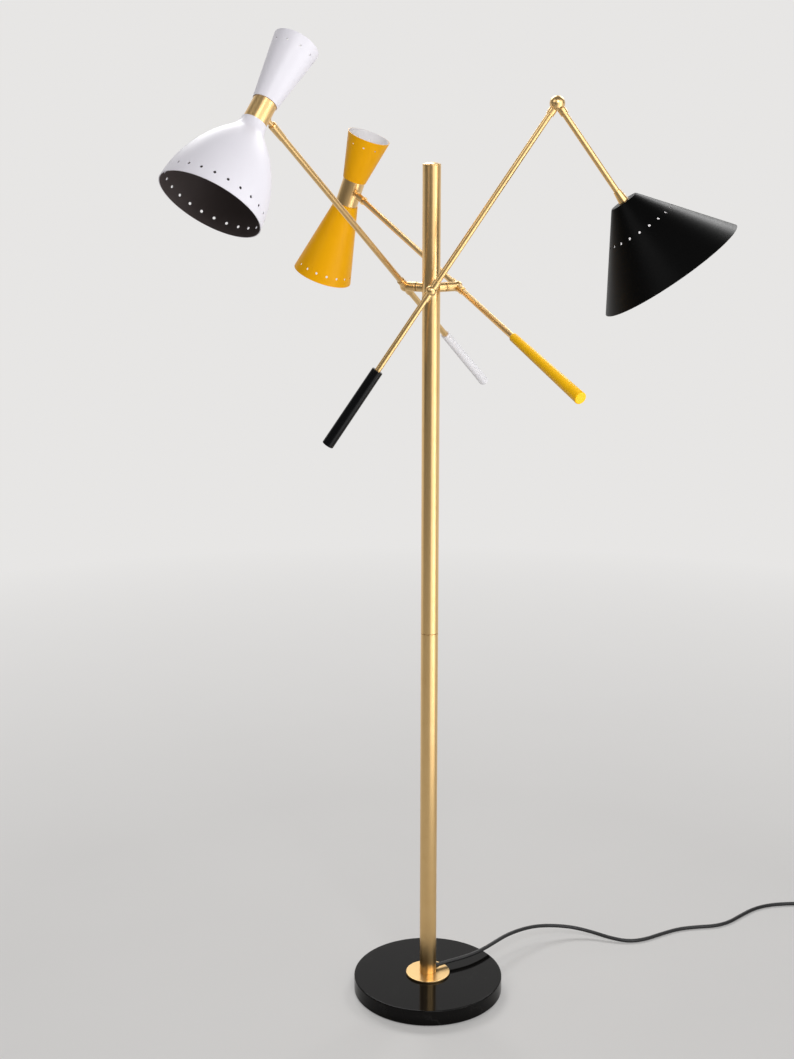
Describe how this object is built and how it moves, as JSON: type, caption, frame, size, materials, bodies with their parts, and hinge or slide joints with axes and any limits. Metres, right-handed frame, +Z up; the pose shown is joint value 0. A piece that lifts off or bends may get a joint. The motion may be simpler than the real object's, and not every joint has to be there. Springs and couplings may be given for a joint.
{
  "type": "floor lamp",
  "caption": "Floor lamp: a slender brass pole on a round stone base; tilting arms on a central hub carry swivelling perforated shades and an elbowed cone shade.",
  "frame": {"origin": "centre of the base's underside, on the floor", "axes": "+Z up along the pole, -Y along the black arm's spoke towards the viewer of the picture, +X to that viewer's right"},
  "size_m": [1.2617, 0.9159, 1.6813],
  "materials": {
    "brass": "polished and lacquered, with fine lengthwise polishing marks",
    "black_stone": "polished black marble",
    "felt": "pressed felt",
    "steel": "turned",
    "white_paint": "gloss enamel",
    "yellow_paint": "gloss enamel",
    "black_paint": "gloss enamel outside, white inside",
    "porcelain": "glazed",
    "fibre": "vulcanised fibre",
    "nylon": "moulded",
    "black_plastic": "moulded, fine grain",
    "cord_rubber": "smooth sheath",
    "nickel": "nickel plated"
  },
  "bodies": {
    "stand": {"base_pad": "felt", "base_disc": "black_stone", "base_washer": "steel", "base_nut": "steel", "base_stud": "steel", "base_flange": "brass", "foot_plug": "steel", "lower_pole": "brass", "upper_pole": "brass", "pole_coupler": "steel", "pole_cap": "brass", "hub_core": "steel", "hub_bosses": "brass", "pivot_pins": "steel", "friction_washers": "fibre", "terminal_block": "nylon", "cord_bush": "black_plastic", "mains_cord": "cord_rubber", "cord_coil": "cord_rubber", "cord_tie": "black_plastic", "plug_body": "black_plastic", "plug_pins": "nickel"},
    "white_arm": {"white_knuckle": "brass", "white_grub_screw": "steel", "white_lower_rod": "brass", "white_grip": "white_paint", "white_upper_rod": "brass", "white_ferrule": "brass"},
    "yellow_arm": {"yellow_knuckle": "brass", "yellow_grub_screw": "steel", "yellow_lower_rod": "brass", "yellow_grip": "yellow_paint", "yellow_upper_rod": "brass", "yellow_ferrule": "brass"},
    "black_arm": {"black_knuckle": "brass", "black_grub_screw": "steel", "black_lower_rod": "brass", "black_grip": "black_paint", "black_upper_rod": "brass", "elbow_rear_cheek": "brass"},
    "white_head": {"white_swivel_stub": "brass", "white_ring": "brass", "white_holder_cross": "steel", "white_lampholders": "porcelain", "white_bell": "white_paint", "white_upper_shade": "white_paint"},
    "yellow_head": {"yellow_swivel_stub": "brass", "yellow_ring": "brass", "yellow_holder_cross": "steel", "yellow_lampholders": "porcelain", "yellow_lower_shade": "yellow_paint", "yellow_upper_shade": "yellow_paint"},
    "black_head": {"elbow_front_cheek": "brass", "elbow_screw": "steel", "head_rod": "brass", "head_ferrule": "brass", "black_shade": "black_paint", "shade_nut": "steel", "black_lampholder": "porcelain"}
  },
  "joints": [
    {"name": "white_tilt", "type": "hinge", "parent": "stand", "child": "white_arm", "pos_m": [-0.0433, 0.025, 1.283], "axis": [-0.866, 0.5, 0], "range_deg": [-25, 30]},
    {"name": "yellow_tilt", "type": "hinge", "parent": "stand", "child": "yellow_arm", "pos_m": [0.0433, 0.025, 1.283], "axis": [0.866, 0.5, 0], "range_deg": [-10, 35]},
    {"name": "black_tilt", "type": "hinge", "parent": "stand", "child": "black_arm", "pos_m": [0, -0.05, 1.283], "axis": [0, -1, 0], "range_deg": [-40, 20]},
    {"name": "white_swivel", "type": "hinge", "parent": "white_arm", "child": "white_head", "pos_m": [-0.24477, -0.32396, 1.56619], "axis": [-0.4091, -0.7085, 0.575], "range_deg": [-160, 160]},
    {"name": "yellow_swivel", "type": "hinge", "parent": "yellow_arm", "child": "yellow_head", "pos_m": [-0.14837, 0.35699, 1.42557], "axis": [-0.4686, 0.8117, 0.3486], "range_deg": [-160, 160]},
    {"name": "black_elbow", "type": "hinge", "parent": "black_arm", "child": "black_head", "pos_m": [0.19748, -0.05, 1.578], "axis": [0, -1, 0], "range_deg": [-3, 110]}
  ]
}
